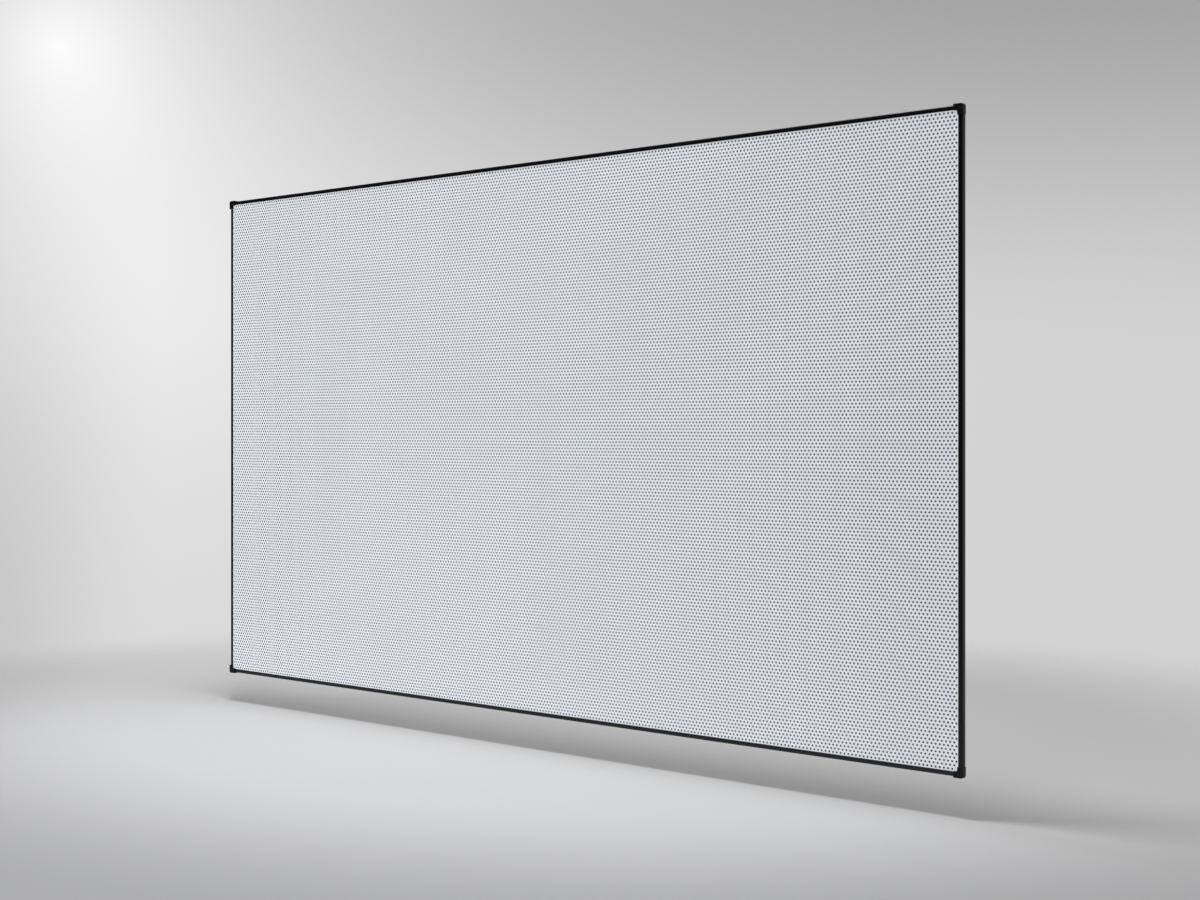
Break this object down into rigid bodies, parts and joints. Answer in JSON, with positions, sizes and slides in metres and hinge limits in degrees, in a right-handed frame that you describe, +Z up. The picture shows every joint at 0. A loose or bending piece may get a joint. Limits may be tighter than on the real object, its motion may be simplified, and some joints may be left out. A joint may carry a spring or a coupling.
{
  "type": "fixed frame projector screen",
  "caption": "Wide flat projection screen: a perforated white sheet stretched over a thin black aluminium frame, with moulded corner caps and hooks for a wall.",
  "frame": {"origin": "centre of the whole screen's box, with its wall brackets and bumpers", "axes": "+X along the width, to the right as the picture is watched; -Y out of the picture, towards the viewer; +Z up"},
  "size_m": [2.237, 0.026, 1.2684],
  "materials": {
    "trim_anodised": "black anodised, satin",
    "rail_black": "black powder coat, satin",
    "cap_plastic": "moulded ABS, fine texture",
    "sheet_vinyl": "matt white PVC, perforated",
    "cloth_black": "black woven polyester",
    "rod_glass_fibre": "drawn glass fibre",
    "plate_zinc": "zinc plated steel",
    "screw_steel": "black oxide",
    "bracket_steel": "black powder coat",
    "shoe_nylon": "moulded nylon",
    "bumper_rubber": "moulded rubber"
  },
  "bodies": {
    "root": {"backing_cloth": "cloth_black", "bezel_bottom": "trim_anodised", "bezel_left": "trim_anodised", "bezel_right": "trim_anodised", "bezel_top": "trim_anodised", "corner_bracket_bottom_left": "plate_zinc", "corner_bracket_bottom_right": "plate_zinc", "corner_bracket_top_left": "plate_zinc", "corner_bracket_top_right": "plate_zinc", "corner_cap_bottom_left": "cap_plastic", "corner_cap_bottom_right": "cap_plastic", "corner_cap_top_left": "cap_plastic", "corner_cap_top_right": "cap_plastic", "corner_screw_bottom_left_1": "screw_steel", "corner_screw_bottom_left_2": "screw_steel", "corner_screw_bottom_left_3": "screw_steel", "corner_screw_bottom_left_4": "screw_steel", "corner_screw_bottom_right_1": "screw_steel", "corner_screw_bottom_right_2": "screw_steel", "corner_screw_bottom_right_3": "screw_steel", "corner_screw_bottom_right_4": "screw_steel", "corner_screw_top_left_1": "screw_steel", "corner_screw_top_left_2": "screw_steel", "corner_screw_top_left_3": "screw_steel", "corner_screw_top_left_4": "screw_steel", "corner_screw_top_right_1": "screw_steel", "corner_screw_top_right_2": "screw_steel", "corner_screw_top_right_3": "screw_steel", "corner_screw_top_right_4": "screw_steel", "projection_sheet": "sheet_vinyl", "rail_bottom_left": "rail_black", "rail_bottom_right": "rail_black", "rail_left": "rail_black", "rail_right": "rail_black", "rail_top_left": "rail_black", "rail_top_right": "rail_black", "sheet_flap_bottom": "sheet_vinyl", "sheet_flap_left": "sheet_vinyl", "sheet_flap_right": "sheet_vinyl", "sheet_flap_top": "sheet_vinyl", "splice_plate_bottom": "plate_zinc", "splice_plate_top": "plate_zinc", "splice_screw_bottom_1": "screw_steel", "splice_screw_bottom_2": "screw_steel", "splice_screw_top_1": "screw_steel", "splice_screw_top_2": "screw_steel", "support_bar": "rail_black", "support_screw_bottom": "screw_steel", "support_screw_top": "screw_steel", "support_shoe_bottom": "shoe_nylon", "support_shoe_top": "shoe_nylon", "tension_rod_bottom": "rod_glass_fibre", "tension_rod_left": "rod_glass_fibre", "tension_rod_right": "rod_glass_fibre", "tension_rod_top": "rod_glass_fibre", "wall_bracket_left": "bracket_steel", "wall_bracket_right": "bracket_steel", "wall_bumper_left": "bumper_rubber", "wall_bumper_right": "bumper_rubber"}
  },
  "joints": []
}
